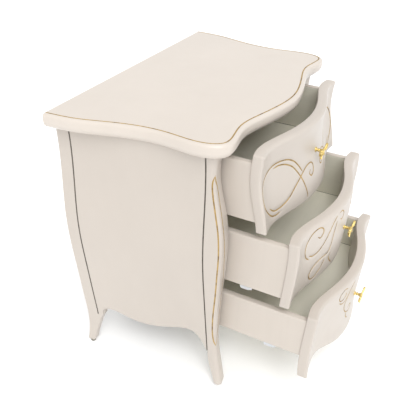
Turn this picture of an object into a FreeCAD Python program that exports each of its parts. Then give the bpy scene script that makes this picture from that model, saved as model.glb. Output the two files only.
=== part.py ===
import FreeCAD, Part
import os
import re

# A free-standing bedside chest with three drawers and bombe (double-curved) front and sides.
# Frame: +Z up from the floor, +X to the right, the drawers slide out towards -Y.
# "Depth" is the distance forwards of the flat back, so y = back_plane - depth.
# The chest is stored with its drawers drawn out by stepped amounts.

DIMENSIONS = {
    "overall_height": 613,
    "glide_height": 5,
    "glide_radius": 6,
    "top_thickness": 30,
    "top_upper_round": 7,
    "top_lower_round": 15,
    "front_thickness": 22,
    "front_half_width": 208,
    "front_edge_round": 5,
    "side_thickness": 18,
    "post_half_width": 211,
    "post_back_depth": 311,
    "post_edge_round": 7,
    "rear_leg_depth": 29,
    "back_panel_depth": 2,
    "back_panel_thickness": 6,
    "back_panel_low": 110,
    "runner_board_thickness": 9,
    "runner_board_low": 132,
    "rail_thickness": 18,
    "rail_back_depth": 235,
    "rail_front_depth": 288,
    "rear_rail_front_depth": 60,
    "upper_rail_low": 408,
    "lower_rail_low": 247,
    "foot_rail_low": 112,
    "foot_rail_high": 150,
    "box_half_width": 204,
    "box_side_thickness": 13,
    "box_back_depth": 32,
    "box_back_thickness": 12,
    "box_back_drop": 8,
    "tray_thickness": 5,
    "tray_lift": 12,
    "groove_depth": 5,
    "runner_thickness": 2,
    "runner_width": 35,
    "runner_rise": 26,
    "runner_drop": 12,
    "runner_back_depth": 30,
    "runner_front_depth": 286,
    "slide_outer": 190,
    "slide_inner": 178,
    "slide_drop": 9,
    "slide_front_depth": 294,
    "clip_back_depth": 223,
    "clip_front_depth": 249,
    "clip_drop": 8,
    "clip_width": 13,
    "knob_stem": 13,
    "knob_bore_radius": 2,
    "knob_bore_depth": 10,
    "knob_gap": 0.05,
    "screw_radius": 1.9,
    "screw_hole_radius": 2.4,
    "screw_head_radius": 4,
    "screw_head_height": 2.5,
    "top_front_low": 421,
    "top_front_high": 581,
    "top_box_low": 440,
    "top_box_high": 562,
    "top_knob_height": 510,
    "top_opening": 78,
    "middle_front_low": 261,
    "middle_front_high": 418,
    "middle_box_low": 279,
    "middle_box_high": 404,
    "middle_knob_height": 345,
    "middle_opening": 144,
    "bottom_front_high": 258,
    "bottom_box_low": 144,
    "bottom_box_high": 243,
    "bottom_knob_height": 177,
    "bottom_opening": 205,
}

# Control values of cubic splines, evenly spread over the stated span.
FRONT_PROFILE = (344, 336.5, 323.5, 327, 333, 341, 342, 313.5, 326.5, 329)  # depth, up the height
SIDE_PROFILE = (273.5, 256, 265.5, 276, 288.5, 273.5, 271.5, 277)  # half width, up the height
FRONT_PLAN = (2, 17.5, -20, 19.5, 36, 19.5, -20, 17.5, 2)  # extra depth, across the width
SIDE_PLAN = (0, 6, 25, 24.5, 22)  # narrowing, from back to front
FRONT_PLAN_REACH = 280
SIDE_PLAN_REACH = 360
LIMIT_DEPTH = 250  # how far inwards the thick blocks that shape the legs reach
LIMIT_HALF_WIDTH = 150
TOOL_REACH = 430  # a depth forwards of every front
BOX_REACH = 380  # a depth forwards of every box side before it is trimmed

# Half of the top's outline, from the back corner round to the middle of the front.
TOP_OUTLINE = (
    (302, 0), (301, 20), (300, 63), (281, 122), (266, 181), (264, 243),
    (278, 307), (254, 369), (177, 342), (123, 357), (61, 375), (0, 385),
)
# Lower edge of the bottom drawer front, from its pointed end to the middle.
APRON_FRONT = ((208, 87), (184, 99), (160, 120), (110, 99), (60, 82), (0, 82))
# Lower edge of a side: (depth, height).
APRON_SIDE = (
    (45, 88), (45, 105), (48, 119), (84, 118), (126, 98), (190, 104), (255, 139),
    (290, 138), (306, 98), (311, 82),
)
REAR_LEG_FRONT = ((45, 88), (37, 80), (29, 58), (19, 26), (17, 5))
FRONT_LEG_BACK = ((311, 82), (311, 62), (319, 38), (334, 15), (338, 5))
FRONT_LEG_INSIDE = ((211, 84), (211, 66), (212, 40), (220, 18), (223, 5))
REAR_LEG_INSIDE = ((211, 130), (211, 104), (244, 98), (240, 62), (248, 28), (253, 5))

BACK_CORNER_RADIUS = 3
DRAWERS = ("top", "middle", "bottom")

V = FreeCAD.Vector
TO_XZ = FreeCAD.Rotation(V(1, 0, 0), 90)
TO_YZ = FreeCAD.Rotation(V(1, 1, 1), 120)

doc = FreeCAD.newDocument("BombeChest")
sheet = doc.addObject("Spreadsheet::Sheet", "Size")


def set_cell(row, alias, value):
    sheet.set(f"A{row}", alias)
    sheet.set(f"B{row}", str(value))
    sheet.setAlias(f"B{row}", alias)


for row, (alias, value) in enumerate(DIMENSIONS.items(), start=1):
    set_cell(row, alias, value)
doc.recompute()


def cell(alias):
    return float(sheet.get(alias))


def cells(text):
    """An expression in which every word is an alias of the sheet."""
    return re.sub(r"[a-z][a-z_]+", lambda word: "Size." + word.group(), text)


# ---- curves -------------------------------------------------------------------------------

def spline(poles):
    """An open cubic B-spline that starts and ends on its first and last pole."""
    spans = len(poles) - 3
    curve = Part.BSplineCurve()
    counts = [4] + [1] * (spans - 1) + [4]
    knots = [float(i) for i in range(spans + 1)]
    curve.buildFromPolesMultsKnots([V(*pole) for pole in poles], counts, knots, False, 3)
    return curve


def spread(low, high, count):
    """Pole places that make a cubic spline's parameter run evenly from low to high."""
    spans = count - 3
    knots = [0] * 3 + list(range(spans + 1)) + [spans] * 3
    return [low + (high - low) * sum(knots[i + 1:i + 4]) / (3 * spans) for i in range(count)]


def graph_value(values, low, high, place):
    curve = spline([(at, value) for at, value in zip(spread(low, high, len(values)), values)])
    return curve.value((place - low) / (high - low) * (len(values) - 3)).y


HEIGHTS = (cell("glide_height"), cell("overall_height"))


def front_depth(x, z):
    """Depth of the fronts' outer surface."""
    reach = FRONT_PLAN_REACH
    return graph_value(FRONT_PROFILE, *HEIGHTS, z) + graph_value(FRONT_PLAN, -reach, reach, x)


def front_curve(inset):
    """The fronts' plan curve at floor level, set back by inset."""
    reach = FRONT_PLAN_REACH
    places = spread(-reach, reach, len(FRONT_PLAN))
    start = FRONT_PROFILE[0] - inset
    return spline([(x, -(start + more)) for x, more in zip(places, FRONT_PLAN)])


def side_curve(inset):
    """The left side's plan curve at floor level, set in by inset."""
    places = spread(0, SIDE_PLAN_REACH, len(SIDE_PLAN))
    start = SIDE_PROFILE[0] - inset
    return spline([(less - start, -depth) for depth, less in zip(places, SIDE_PLAN)])


def lines(*points):
    return [Part.LineSegment(V(*a), V(*b)) for a, b in zip(points, points[1:])]


def ends(curve):
    first, last = curve.value(curve.FirstParameter), curve.value(curve.LastParameter)
    return (first.x, first.y), (last.x, last.y)


# ---- building blocks ----------------------------------------------------------------------

def origin_plane(body, role):
    return [feature for feature in body.Origin.OriginFeatures if feature.Role == role][0]


def body_sketch(body, name, role, geometry, height=0):
    sketch = body.newObject("Sketcher::SketchObject", name)
    sketch.AttachmentSupport = [(origin_plane(body, role), "")]
    sketch.MapMode = "FlatFace"
    sketch.AttachmentOffset = FreeCAD.Placement(V(0, 0, height), FreeCAD.Rotation())
    for piece in geometry:
        sketch.addGeometry(piece)
    return sketch


def carried(name, plan, role, profile):
    """A body whose plan outline is carried, without turning, up a profile curve."""
    body = doc.addObject("PartDesign::Body", name)
    outline = body_sketch(body, name + "_plan", "XY_Plane", plan, HEIGHTS[0])
    spine = body_sketch(body, name + "_profile", role, [profile])
    pipe = body.newObject("PartDesign::AdditivePipe", name + "_pipe")
    pipe.Profile = outline
    pipe.Spine = (spine, [])
    pipe.Mode = "Fixed"
    body.Tip = pipe
    return body


def front_body(name, plan):
    heights = spread(*HEIGHTS, len(FRONT_PROFILE))
    profile = spline([(-depth, z) for depth, z in zip(FRONT_PROFILE, heights)])
    return carried(name, plan, "YZ_Plane", profile)


def side_body(name, plan):
    heights = spread(*HEIGHTS, len(SIDE_PROFILE))
    profile = spline([(-half, z) for half, z in zip(SIDE_PROFILE, heights)])
    return carried(name, plan, "XZ_Plane", profile)


def slab(name, rotation, geometry, length):
    """A closed outline drawn on an upright plane and extruded both ways."""
    sketch = doc.addObject("Sketcher::SketchObject", name + "_outline")
    sketch.Placement = FreeCAD.Placement(V(0, 0, 0), rotation)
    for piece in geometry:
        sketch.addGeometry(piece)
    block = doc.addObject("Part::Extrusion", name)
    block.Base = sketch
    block.DirMode = "Normal"
    block.LengthFwd = length
    block.LengthRev = length
    block.Solid = True
    return block


def box(name, xs, depths, heights, shift="0"):
    """A board between two x values, two depths and two heights, all written as expressions."""
    board = doc.addObject("Part::Box", name)
    board.setExpression("Length", cells(f"({xs[1]}) - ({xs[0]})"))
    board.setExpression("Width", cells(f"({depths[1]}) - ({depths[0]})"))
    board.setExpression("Height", cells(f"({heights[1]}) - ({heights[0]})"))
    board.setExpression("Placement.Base.x", cells(xs[0]))
    board.setExpression("Placement.Base.y", cells(f"{shift} - ({depths[1]})"))
    board.setExpression("Placement.Base.z", cells(heights[0]))
    return board


def rod(name, radius, depths, height, x="0", shift="0"):
    """A round rod that runs from front to back."""
    bar = doc.addObject("Part::Cylinder", name)
    bar.Placement = FreeCAD.Placement(V(0, 0, 0), TO_XZ)
    bar.setExpression("Radius", cells(radius))
    bar.setExpression("Height", cells(f"({depths[1]}) - ({depths[0]})"))
    bar.setExpression("Placement.Base.x", cells(x))
    bar.setExpression("Placement.Base.y", cells(f"{shift} - ({depths[0]})"))
    bar.setExpression("Placement.Base.z", cells(height))
    return bar


def common(name, *shapes):
    result = doc.addObject("Part::MultiCommon", name)
    result.Shapes = list(shapes)
    return result


def fused(name, *shapes):
    result = doc.addObject("Part::MultiFuse", name)
    result.Shapes = list(shapes)
    return result


def cut(name, base, tool):
    result = doc.addObject("Part::Cut", name)
    result.Base = base
    result.Tool = tool
    return result


def rounded(name, base, radius, wanted):
    """Round every edge of base that wanted accepts."""
    doc.recompute()
    result = doc.addObject("Part::Fillet", name)
    result.Base = base
    size = cell(radius)
    chosen = [i for i, edge in enumerate(base.Shape.Edges, start=1) if wanted(edge)]
    result.Edges = [(i, size, size) for i in chosen]
    return result


def mirrored(name, source):
    result = doc.addObject("Part::Mirroring", name)
    result.Source = source
    result.Normal = V(1, 0, 0)
    return result


PIECES = []


def piece(feature, label, shift=None):
    """Name a finished piece, and set it in its place along Y."""
    feature.Label = label
    if shift:
        feature.setExpression("Placement.Base.y", cells(shift))
    PIECES.append(feature)
    return feature


def pair(feature, label, shift=None):
    """A left-hand piece and its right-hand mirror image."""
    piece(feature, "left_" + label, shift)
    doc.recompute()
    piece(mirrored(feature.Name + "_right", feature), "right_" + label)


# The stored pose's box is centred on the origin, so the back plane follows from the knob that
# stands furthest forwards.
KNOB_HEAD = 6
reach = front_depth(0, cell("bottom_knob_height")) + cell("bottom_opening") + cell("knob_stem")
set_cell(len(DIMENSIONS) + 1, "back_plane", round((reach + KNOB_HEAD) / 2, 3))
doc.recompute()

# ---- curved blocks that the fronts, legs and sides are cut from ---------------------------

outer, inner = front_curve(0), front_curve(cell("front_thickness"))
front_board = front_body("front_board", [
    outer, inner,
    *lines(ends(outer)[0], ends(inner)[0]),
    *lines(ends(outer)[1], ends(inner)[1]),
])
start, finish = ends(outer)
front_block = front_body("front_block", [
    outer,
    *lines(start, (start[0], -LIMIT_DEPTH), (finish[0], -LIMIT_DEPTH), finish),
])
start, finish = ends(inner)
box_trimmer = front_body("box_trimmer", [
    inner,
    *lines(start, (start[0], -TOOL_REACH), (finish[0], -TOOL_REACH), finish),
])
outer, inner = side_curve(0), side_curve(cell("side_thickness"))
side_board = side_body("side_board", [
    outer, inner,
    *lines(ends(outer)[0], ends(inner)[0]),
    *lines(ends(outer)[1], ends(inner)[1]),
])
start, finish = ends(outer)
side_block = side_body("side_block", [
    outer,
    *lines(start, (-LIMIT_HALF_WIDTH, start[1]), (-LIMIT_HALF_WIDTH, finish[1]), finish),
])

# ---- carcass ------------------------------------------------------------------------------

TOP_LOW = "overall_height - top_thickness"
top_low = cell("overall_height") - cell("top_thickness")


def make_top():
    """The moulded top: a flat back, waisted sides, and a front with horns and a bow."""
    half = [(x, -depth) for x, depth in TOP_OUTLINE]
    edge = spline(half + [(-x, y) for x, y in half[-2::-1]])
    body = doc.addObject("PartDesign::Body", "top_body")
    outline = [edge, *lines(*ends(edge))]
    sketch = body_sketch(body, "top_outline", "XY_Plane", outline)
    sketch.setExpression("AttachmentOffset.Base.z", cells(TOP_LOW))
    pad = body.newObject("PartDesign::Pad", "top_pad")
    pad.Profile = sketch
    pad.setExpression("Length", cells("top_thickness"))
    body.Tip = pad
    doc.recompute()
    last = pad
    for name, height in (("top_upper_round", cell("overall_height")), ("top_lower_round", top_low)):
        found = [
            f"Edge{i}" for i, one in enumerate(last.Shape.Edges, start=1)
            if one.BoundBox.YMin < -100 and abs(one.BoundBox.ZMax - height) < 0.1
            and one.BoundBox.ZLength < 0.1
        ]
        round_edge = body.newObject("PartDesign::Fillet", name)
        round_edge.Base = (last, found)
        round_edge.setExpression("Radius", cells(name))
        body.Tip = round_edge
        doc.recompute()
        last = round_edge
    return body


def make_side_panel():
    """The bombe side between the legs, with its scalloped lower edge."""
    rear, post = cell("rear_leg_depth"), cell("post_back_depth")
    apron = spline([(-depth, z) for depth, z in APRON_SIDE])
    foot = APRON_SIDE[0]
    last = APRON_SIDE[-1]
    outline = [
        apron,
        *lines((-foot[0], foot[1]), (-rear, foot[1]), (-rear, top_low),
               (-post, top_low), (-last[0], last[1])),
    ]
    return common("side_panel", side_board, slab("side_outline", TO_YZ, outline, 400))


def leg_front_view(curve):
    """The front view of a left leg: straight inside edge, then the curve out to the foot."""
    inside = spline([(-x, z) for x, z in curve])
    top, foot = curve[0], curve[-1]
    return [
        inside,
        *lines((-top[0], top[1]), (-top[0], top_low), (-400, top_low),
               (-400, foot[1]), (-foot[0], foot[1])),
    ]


def make_rear_leg():
    front = spline([(-depth, z) for depth, z in REAR_LEG_FRONT])
    rear = cell("rear_leg_depth")
    top, foot = REAR_LEG_FRONT[0], REAR_LEG_FRONT[-1]
    outline = [
        front,
        *lines((-top[0], top[1]), (-rear, top[1]), (-rear, top_low), (0, top_low),
               (0, foot[1]), (-foot[0], foot[1])),
    ]
    side_view = slab("rear_leg_side_view", TO_YZ, outline, 400)
    front_view = slab("rear_leg_front_view", TO_XZ, leg_front_view(REAR_LEG_INSIDE), 400)
    return common("rear_leg", side_block, side_view, front_view)


def make_front_leg():
    """A front corner post: its faces follow the bombe front and side, and it ends in a foot."""
    back = spline([(-depth, z) for depth, z in FRONT_LEG_BACK])
    top, foot = FRONT_LEG_BACK[0], FRONT_LEG_BACK[-1]
    outline = [
        back,
        *lines((-top[0], top[1]), (-top[0], top_low), (-TOOL_REACH, top_low),
               (-TOOL_REACH, foot[1]), (-foot[0], foot[1])),
    ]
    side_view = slab("front_leg_side_view", TO_YZ, outline, 400)
    front_view = slab("front_leg_front_view", TO_XZ, leg_front_view(FRONT_LEG_INSIDE), 400)
    sharp = common("front_leg_sharp", side_block, front_block, side_view, front_view)

    def is_corner(edge):
        middle = edge.valueAt((edge.FirstParameter + edge.LastParameter) / 2)
        return (edge.BoundBox.ZLength > 400 and middle.x < -230
                and middle.y < -cell("post_back_depth") - 5)

    return rounded("front_leg", sharp, "post_edge_round", is_corner)


def make_glides():
    """Four round floor glides, one under each foot."""
    places = (("rear", 261, 9), ("front", 238, 347))
    discs = []
    for side in (-1, 1):
        for end, across, depth in places:
            disc = doc.addObject("Part::Cylinder", f"glide_{end}")
            disc.setExpression("Radius", cells("glide_radius"))
            disc.setExpression("Height", cells("glide_height"))
            disc.Placement.Base = V(side * across, -depth, 0)
            discs.append(disc)
    return fused("glides", *discs)


ACROSS = ("-post_half_width", "post_half_width")
piece(make_top(), "top_panel", "back_plane")
pair(make_side_panel(), "side_panel", "back_plane")
pair(make_front_leg(), "front_leg", "back_plane")
pair(make_rear_leg(), "rear_leg", "back_plane")
pair(box(
    "runner_board",
    ("-post_half_width - runner_board_thickness", "-post_half_width"),
    ("rear_leg_depth", "post_back_depth"), ("runner_board_low", TOP_LOW), "back_plane",
), "runner_board")
piece(box(
    "back_panel", ACROSS,
    ("back_panel_depth", "back_panel_depth + back_panel_thickness"),
    ("back_panel_low", TOP_LOW), "back_plane",
), "back_panel")
BACK_FACE = "back_panel_depth + back_panel_thickness"
RAILS = {
    "top_front_rail": ("rail_back_depth", "rail_front_depth", f"{TOP_LOW} - rail_thickness"),
    "top_rear_rail": (BACK_FACE, "rear_rail_front_depth", f"{TOP_LOW} - rail_thickness"),
    "upper_divider_rail": ("rail_back_depth", "rail_front_depth", "upper_rail_low"),
    "lower_divider_rail": ("rail_back_depth", "rail_front_depth", "lower_rail_low"),
}
for label, (rear_face, front_face, low) in RAILS.items():
    heights = (low, f"{low} + rail_thickness")
    piece(box(label, ACROSS, (rear_face, front_face), heights, "back_plane"), label)
piece(box(
    "foot_rail", ACROSS, (BACK_FACE, f"{BACK_FACE} + rail_thickness"),
    ("foot_rail_low", "foot_rail_high"), "back_plane",
), "rear_foot_rail")
piece(make_glides(), "floor_glides", "back_plane")

# ---- drawers ------------------------------------------------------------------------------


def make_runner(drawer):
    """The fixed half of a runner: a folded steel angle on the runner board."""
    depths = ("runner_back_depth", "runner_front_depth")
    shelf_low = f"{drawer}_box_low - runner_drop"
    wall = box(
        f"{drawer}_runner_wall", ("-post_half_width", "-post_half_width + runner_thickness"),
        depths, (shelf_low, f"{drawer}_box_low + runner_rise"),
    )
    shelf = box(
        f"{drawer}_runner_shelf", ("-post_half_width", "-post_half_width + runner_width"),
        depths, (shelf_low, f"{shelf_low} + runner_thickness"),
    )
    return fused(f"{drawer}_runner", wall, shelf)


def front_blank(drawer):
    """The stretch of the bombe front board that belongs to one drawer."""
    if drawer != "bottom":
        heights = (f"{drawer}_front_low", f"{drawer}_front_high")
        xs = ("-front_half_width", "front_half_width")
        window = box(f"{drawer}_window", xs, ("200", str(TOOL_REACH)), heights)
        return common(f"{drawer}_front_blank", front_board, window)
    high = cell("bottom_front_high")
    apron = [(-x, z) for x, z in APRON_FRONT] + [(x, z) for x, z in APRON_FRONT[-2::-1]]
    (left, low), (right, _) = apron[0], apron[-1]
    outline = [
        spline(apron), *lines((left, low), (left, high), (right, high), (right, low)),
    ]
    window = slab("bottom_window", TO_XZ, outline, TOOL_REACH)
    return common("bottom_front_blank", front_board, window)


def make_front(drawer):
    """A drawer front: a rounded outer rim, and a hole for the knob's screw."""
    blank = front_blank(drawer)
    doc.recompute()
    high = cell(f"{drawer}_front_high")
    half = cell("front_half_width")

    def is_outer_rim(edge):
        middle = edge.valueAt((edge.FirstParameter + edge.LastParameter) / 2)
        on_skin = abs(-middle.y - front_depth(middle.x, middle.z)) < 0.5
        on_end = abs(abs(middle.x) - half) < 0.1 and edge.BoundBox.XLength < 1
        return on_skin and (on_end or abs(middle.z - high) < 0.1)

    rim = rounded(f"{drawer}_front_rim", blank, "front_edge_round", is_outer_rim)
    hole = rod(f"{drawer}_screw_hole", "screw_hole_radius", ("200", str(TOOL_REACH)),
               f"{drawer}_knob_height")
    return cut(f"{drawer}_front", rim, hole)


def make_box_side(drawer):
    """A box side: its front end fits the curved front, and a groove holds the tray."""
    blank = box(
        f"{drawer}_side_blank", ("-box_half_width", "-box_half_width + box_side_thickness"),
        ("box_back_depth", str(BOX_REACH)), (f"{drawer}_box_low", f"{drawer}_box_high"),
    )
    inside = "-box_half_width + box_side_thickness"
    low = f"{drawer}_box_low + tray_lift"
    groove = box(
        f"{drawer}_groove", (f"{inside} - groove_depth", inside),
        ("box_back_depth", str(BOX_REACH)), (low, f"{low} + tray_thickness"),
    )
    trimmed = cut(f"{drawer}_side_trimmed", blank, box_trimmer)
    return cut(f"{drawer}_box_side", trimmed, groove)


def make_tray(drawer):
    """The thin bottom board, which lies in the sides' grooves."""
    half = "box_half_width - box_side_thickness + groove_depth"
    low = f"{drawer}_box_low + tray_lift"
    blank = box(
        f"{drawer}_tray_blank", (f"-({half})", half), ("box_back_depth", str(BOX_REACH)),
        (low, f"{low} + tray_thickness"),
    )
    return cut(f"{drawer}_tray", blank, box_trimmer)


def make_clips(drawer):
    """The two moulded clips that hold a drawer down on its runners."""
    left = box(
        f"{drawer}_clip", ("-box_half_width", "-box_half_width + clip_width"),
        ("clip_back_depth", "clip_front_depth"),
        (f"{drawer}_box_low - clip_drop", f"{drawer}_box_low"),
    )
    return fused(f"{drawer}_clips", left, mirrored(f"{drawer}_clip_right", left))


def make_knob(drawer, seat, height):
    """A cast knob: a turned stem, and a ribbon bow of two loops, a knot and two tails."""
    stem_length = cell("knob_stem")
    profile = [
        (0, -8), (5.4, -8), (5.4, 1.4), (3.5, 3), (3.1, 8), (4.4, stem_length), (0, stem_length),
    ]
    body = doc.addObject("PartDesign::Body", f"{drawer}_stem")
    points = [(x, -along) for x, along in profile]
    sketch = body_sketch(body, f"{drawer}_stem_outline", "XY_Plane",
                         lines(*points, points[0]))
    turned = body.newObject("PartDesign::Revolution", f"{drawer}_stem_turned")
    turned.Profile = sketch
    turned.ReferenceAxis = (sketch, ["V_Axis"])
    turned.Angle = 360
    body.Tip = turned
    centre = -stem_length - KNOB_HEAD / 2
    wire = KNOB_HEAD / 2 - 0.2
    shapes = [body]
    for side in (-1, 1):
        loop = doc.addObject("Part::Torus", f"{drawer}_loop")
        loop.Radius1 = 7.4
        loop.Radius2 = wire
        loop.Placement = FreeCAD.Placement(V(side * 12, centre, 3), TO_XZ)
        tail = doc.addObject("Part::Cone", f"{drawer}_tail")
        tail.Radius1 = wire
        tail.Radius2 = wire * 0.6
        tail.Height = 19
        lean = FreeCAD.Rotation(V(0, 0, 1), V(side * 0.5, 0, -1))
        tail.Placement = FreeCAD.Placement(V(0, centre, 0), lean)
        shapes += [loop, tail]
    knot = doc.addObject("Part::Sphere", f"{drawer}_knot")
    knot.Radius = KNOB_HEAD
    knot.Placement.Base = V(0, -stem_length, 0)
    shapes.append(knot)
    solid = fused(f"{drawer}_knob_solid", *shapes)
    bore = rod(f"{drawer}_knob_bore", "knob_bore_radius", ("-9", "knob_bore_depth"), "0")
    drilled = cut(f"{drawer}_knob_drilled", solid, bore)
    drilled.Placement.Base = V(0, -seat, height)
    return cut(f"{drawer}_knob", drilled, front_board)


def make_screw(drawer, seat):
    """The machine screw that holds a knob from inside the drawer."""
    inside = seat - cell("front_thickness") - 0.6
    height = f"{drawer}_knob_height"
    tip = str(seat + cell("knob_bore_depth") - 2)
    shank = rod(f"{drawer}_shank", "screw_radius", (str(inside), tip), height)
    head = rod(f"{drawer}_screw_head", "screw_head_radius",
               (f"{inside} - screw_head_height", str(inside)), height)
    return fused(f"{drawer}_screw", head, shank)


for drawer in DRAWERS:
    here = f"back_plane - {drawer}_opening"
    low, high = f"{drawer}_box_low", f"{drawer}_box_high"
    pair(make_runner(drawer), f"{drawer}_runner", "back_plane")
    piece(make_front(drawer), f"{drawer}_drawer_front", here)
    pair(make_box_side(drawer), f"{drawer}_drawer_side", here)
    inner_half = "box_half_width - box_side_thickness"
    piece(box(
        f"{drawer}_box_back", (f"-({inner_half})", inner_half),
        ("box_back_depth", "box_back_depth + box_back_thickness"),
        (f"{low} + tray_lift + tray_thickness", f"{high} - box_back_drop"), here,
    ), f"{drawer}_drawer_back")
    piece(make_tray(drawer), f"{drawer}_drawer_bottom", here)
    slide = box(
        f"{drawer}_slide", ("-slide_outer", "-slide_inner"),
        ("box_back_depth", "slide_front_depth"), (f"{low} - slide_drop", f"{low} + tray_lift"),
        here,
    )
    pair(slide, f"{drawer}_slide")
    piece(make_clips(drawer), f"{drawer}_clips", here)
    knob_height = cell(f"{drawer}_knob_height")
    seat = front_depth(0, knob_height)
    piece(make_knob(drawer, seat, knob_height), f"{drawer}_knob", f"{here} - knob_gap")
    piece(make_screw(drawer, seat), f"{drawer}_knob_screw", here)

# ---- check and write ----------------------------------------------------------------------

doc.recompute()
for feature in doc.Objects:
    if {"Invalid", "Error"} & set(feature.State):
        raise RuntimeError(f"{feature.Name} failed: {feature.State}")
os.makedirs("parts", exist_ok=True)
for feature in PIECES:
    shape = feature.Shape
    if shape.isNull() or not shape.isValid() or not shape.Solids:
        raise RuntimeError(f"{feature.Label} has no valid solid")
    shape.exportStep(f"parts/{feature.Label}.step")
    print(feature.Label, len(shape.Solids), round(shape.Volume), shape.BoundBox)
print(len(PIECES), "pieces, back plane at", cell("back_plane"))
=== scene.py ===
"""Looks for the bombe bedside chest: lacquered double-curved boards with gilded carved lines,
painted drawer boxes, cast brass bow knobs, a pale studio and the camera."""

import math

import bmesh
import bpy
import numpy as np
from mathutils import Matrix, Vector
from mathutils.geometry import delaunay_2d_cdt


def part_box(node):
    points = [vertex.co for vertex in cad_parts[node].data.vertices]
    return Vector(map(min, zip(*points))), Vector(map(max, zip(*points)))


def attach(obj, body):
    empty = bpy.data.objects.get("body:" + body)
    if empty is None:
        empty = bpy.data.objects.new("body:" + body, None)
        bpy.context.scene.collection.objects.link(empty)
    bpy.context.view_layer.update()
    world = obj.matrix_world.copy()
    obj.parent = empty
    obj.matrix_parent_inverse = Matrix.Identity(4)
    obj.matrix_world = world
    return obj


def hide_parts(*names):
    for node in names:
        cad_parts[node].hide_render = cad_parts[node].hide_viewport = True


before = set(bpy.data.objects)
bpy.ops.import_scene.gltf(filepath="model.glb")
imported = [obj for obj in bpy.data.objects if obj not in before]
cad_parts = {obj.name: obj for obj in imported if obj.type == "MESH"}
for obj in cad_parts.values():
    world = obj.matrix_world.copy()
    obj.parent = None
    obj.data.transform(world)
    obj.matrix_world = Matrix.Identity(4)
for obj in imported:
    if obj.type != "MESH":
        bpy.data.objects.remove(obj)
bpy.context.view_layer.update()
MM = 0.001

# ---- the chest's shape, in millimetres ------------------------------------------------------
# A point is (x, depth, z): depth runs forwards from the flat back, z up from the floor.
# The profiles and plans hold the control values of splines: the front's depth and the side's
# half width by height, and what the plan adds to or takes from them across the chest.

FRONT_PROFILE = (344, 336.5, 323.5, 327, 333, 341, 342, 313.5, 326.5, 329)
SIDE_PROFILE = (273.5, 256, 265.5, 276, 288.5, 273.5, 271.5, 277)
FRONT_PLAN = (2, 17.5, -20, 19.5, 36, 19.5, -20, 17.5, 2)
FRONT_PLAN_REACH = 280
SIDE_PLAN = (0, 6, 25, 24.5, 22)
SIDE_PLAN_REACH = 360
TOP_OUTLINE = (
    (302, 0), (301, 20), (300, 63), (281, 122), (266, 181), (264, 243),
    (278, 307), (254, 369), (177, 342), (123, 357), (61, 375), (0, 385),
)
APRON_FRONT = ((208, 87), (184, 99), (160, 120), (110, 99), (60, 82), (0, 82))
APRON_SIDE = (
    (41.5, 88), (42.5, 99), (45, 108), (51, 114), (60, 117), (84, 118), (126, 98), (190, 104),
    (255, 139), (290, 138), (306, 98), (311, 82),
)
REAR_LEG_FRONT = ((41.5, 88), (36, 78), (29, 58), (19, 26), (17, 5))
FRONT_LEG_BACK = ((311, 82), (311, 62), (319, 38), (331, 15), (334.5, 5))
FRONT_LEG_INSIDE = ((211, 84), (211, 66), (212, 40), (220, 18), (223, 5))
REAR_LEG_INSIDE = ((211, 130), (211, 104), (244, 98), (240, 62), (248, 28), (253, 5))

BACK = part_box("top_panel")[1].y / MM
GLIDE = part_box("floor_glides")[1].z / MM
TOP_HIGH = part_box("top_panel")[1].z / MM
TOP_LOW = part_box("top_panel")[0].z / MM
FRONT_THICKNESS = 22
SIDE_THICKNESS = 18
POST_HALF = 211
POST_BACK = 311
REAR_FRONT = 29
# How far out each drawer stands at rest.
DRAWERS = {"top": 78, "middle": 144, "bottom": 205}


def spline(poles, t):
    """Points on a clamped cubic B-spline, at parameters t from 0 to 1."""
    poles = np.asarray(poles, float)
    spans = len(poles) - 3
    knots = np.array([0] * 3 + list(range(spans + 1)) + [spans] * 3, float)
    u = np.clip(np.asarray(t, float) * spans, 0, spans - 1e-9)
    first = np.floor(u).astype(int)
    level = [poles[first + i] for i in range(4)]
    for r in range(1, 4):
        for i in range(3, r - 1, -1):
            low = knots[first + i]
            blend = ((u - low) / (knots[first + 4 + i - r] - low))[..., None]
            level[i] = (1 - blend) * level[i - 1] + blend * level[i]
    return level[3]


def graph(values, low, high, at):
    """Height of a spline graph whose control values are spread evenly from low to high."""
    poles = np.asarray(values, float)[:, None]
    return spline(poles, (np.asarray(at, float) - low) / (high - low))[..., 0]


def front_depth(x, z):
    """Depth of the bombe, serpentine front surface."""
    return (graph(FRONT_PROFILE, GLIDE, TOP_HIGH, z)
            + graph(FRONT_PLAN, -FRONT_PLAN_REACH, FRONT_PLAN_REACH, x))


def side_x(depth, z):
    """Half width of the bombe sides."""
    return graph(SIDE_PROFILE, GLIDE, TOP_HIGH, z) - graph(SIDE_PLAN, 0, SIDE_PLAN_REACH, depth)


def along(poles, key, value, other):
    """Where a spline passes the given value of one coordinate, its other coordinate."""
    line = spline(poles, np.linspace(0, 1, 600))
    order = np.argsort(line[:, key])
    return np.interp(value, line[order, key], line[order, other])


# ---- mesh building --------------------------------------------------------------------------

def resample(points, step):
    """Evenly spaced points on a smooth curve through the given points."""
    p = np.asarray(points, float)
    p = np.vstack([2 * p[0] - p[1], p, 2 * p[-1] - p[-2]])
    t = np.linspace(0, 1, 24, endpoint=False)[:, None]
    parts = []
    for a, b, c, d in zip(p, p[1:], p[2:], p[3:]):
        parts.append(0.5 * (2 * b + (c - a) * t + (2 * a - 5 * b + 4 * c - d) * t ** 2
                            + (3 * b - a - 3 * c + d) * t ** 3))
    line = np.vstack(parts + [p[-2:-1]])
    length = np.r_[0, np.cumsum(np.linalg.norm(np.diff(line, axis=0), axis=1))]
    count = max(2, int(round(length[-1] / step)) + 1)
    at = np.linspace(0, length[-1], count)
    return np.column_stack([np.interp(at, length, line[:, i]) for i in range(p.shape[1])])


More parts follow.
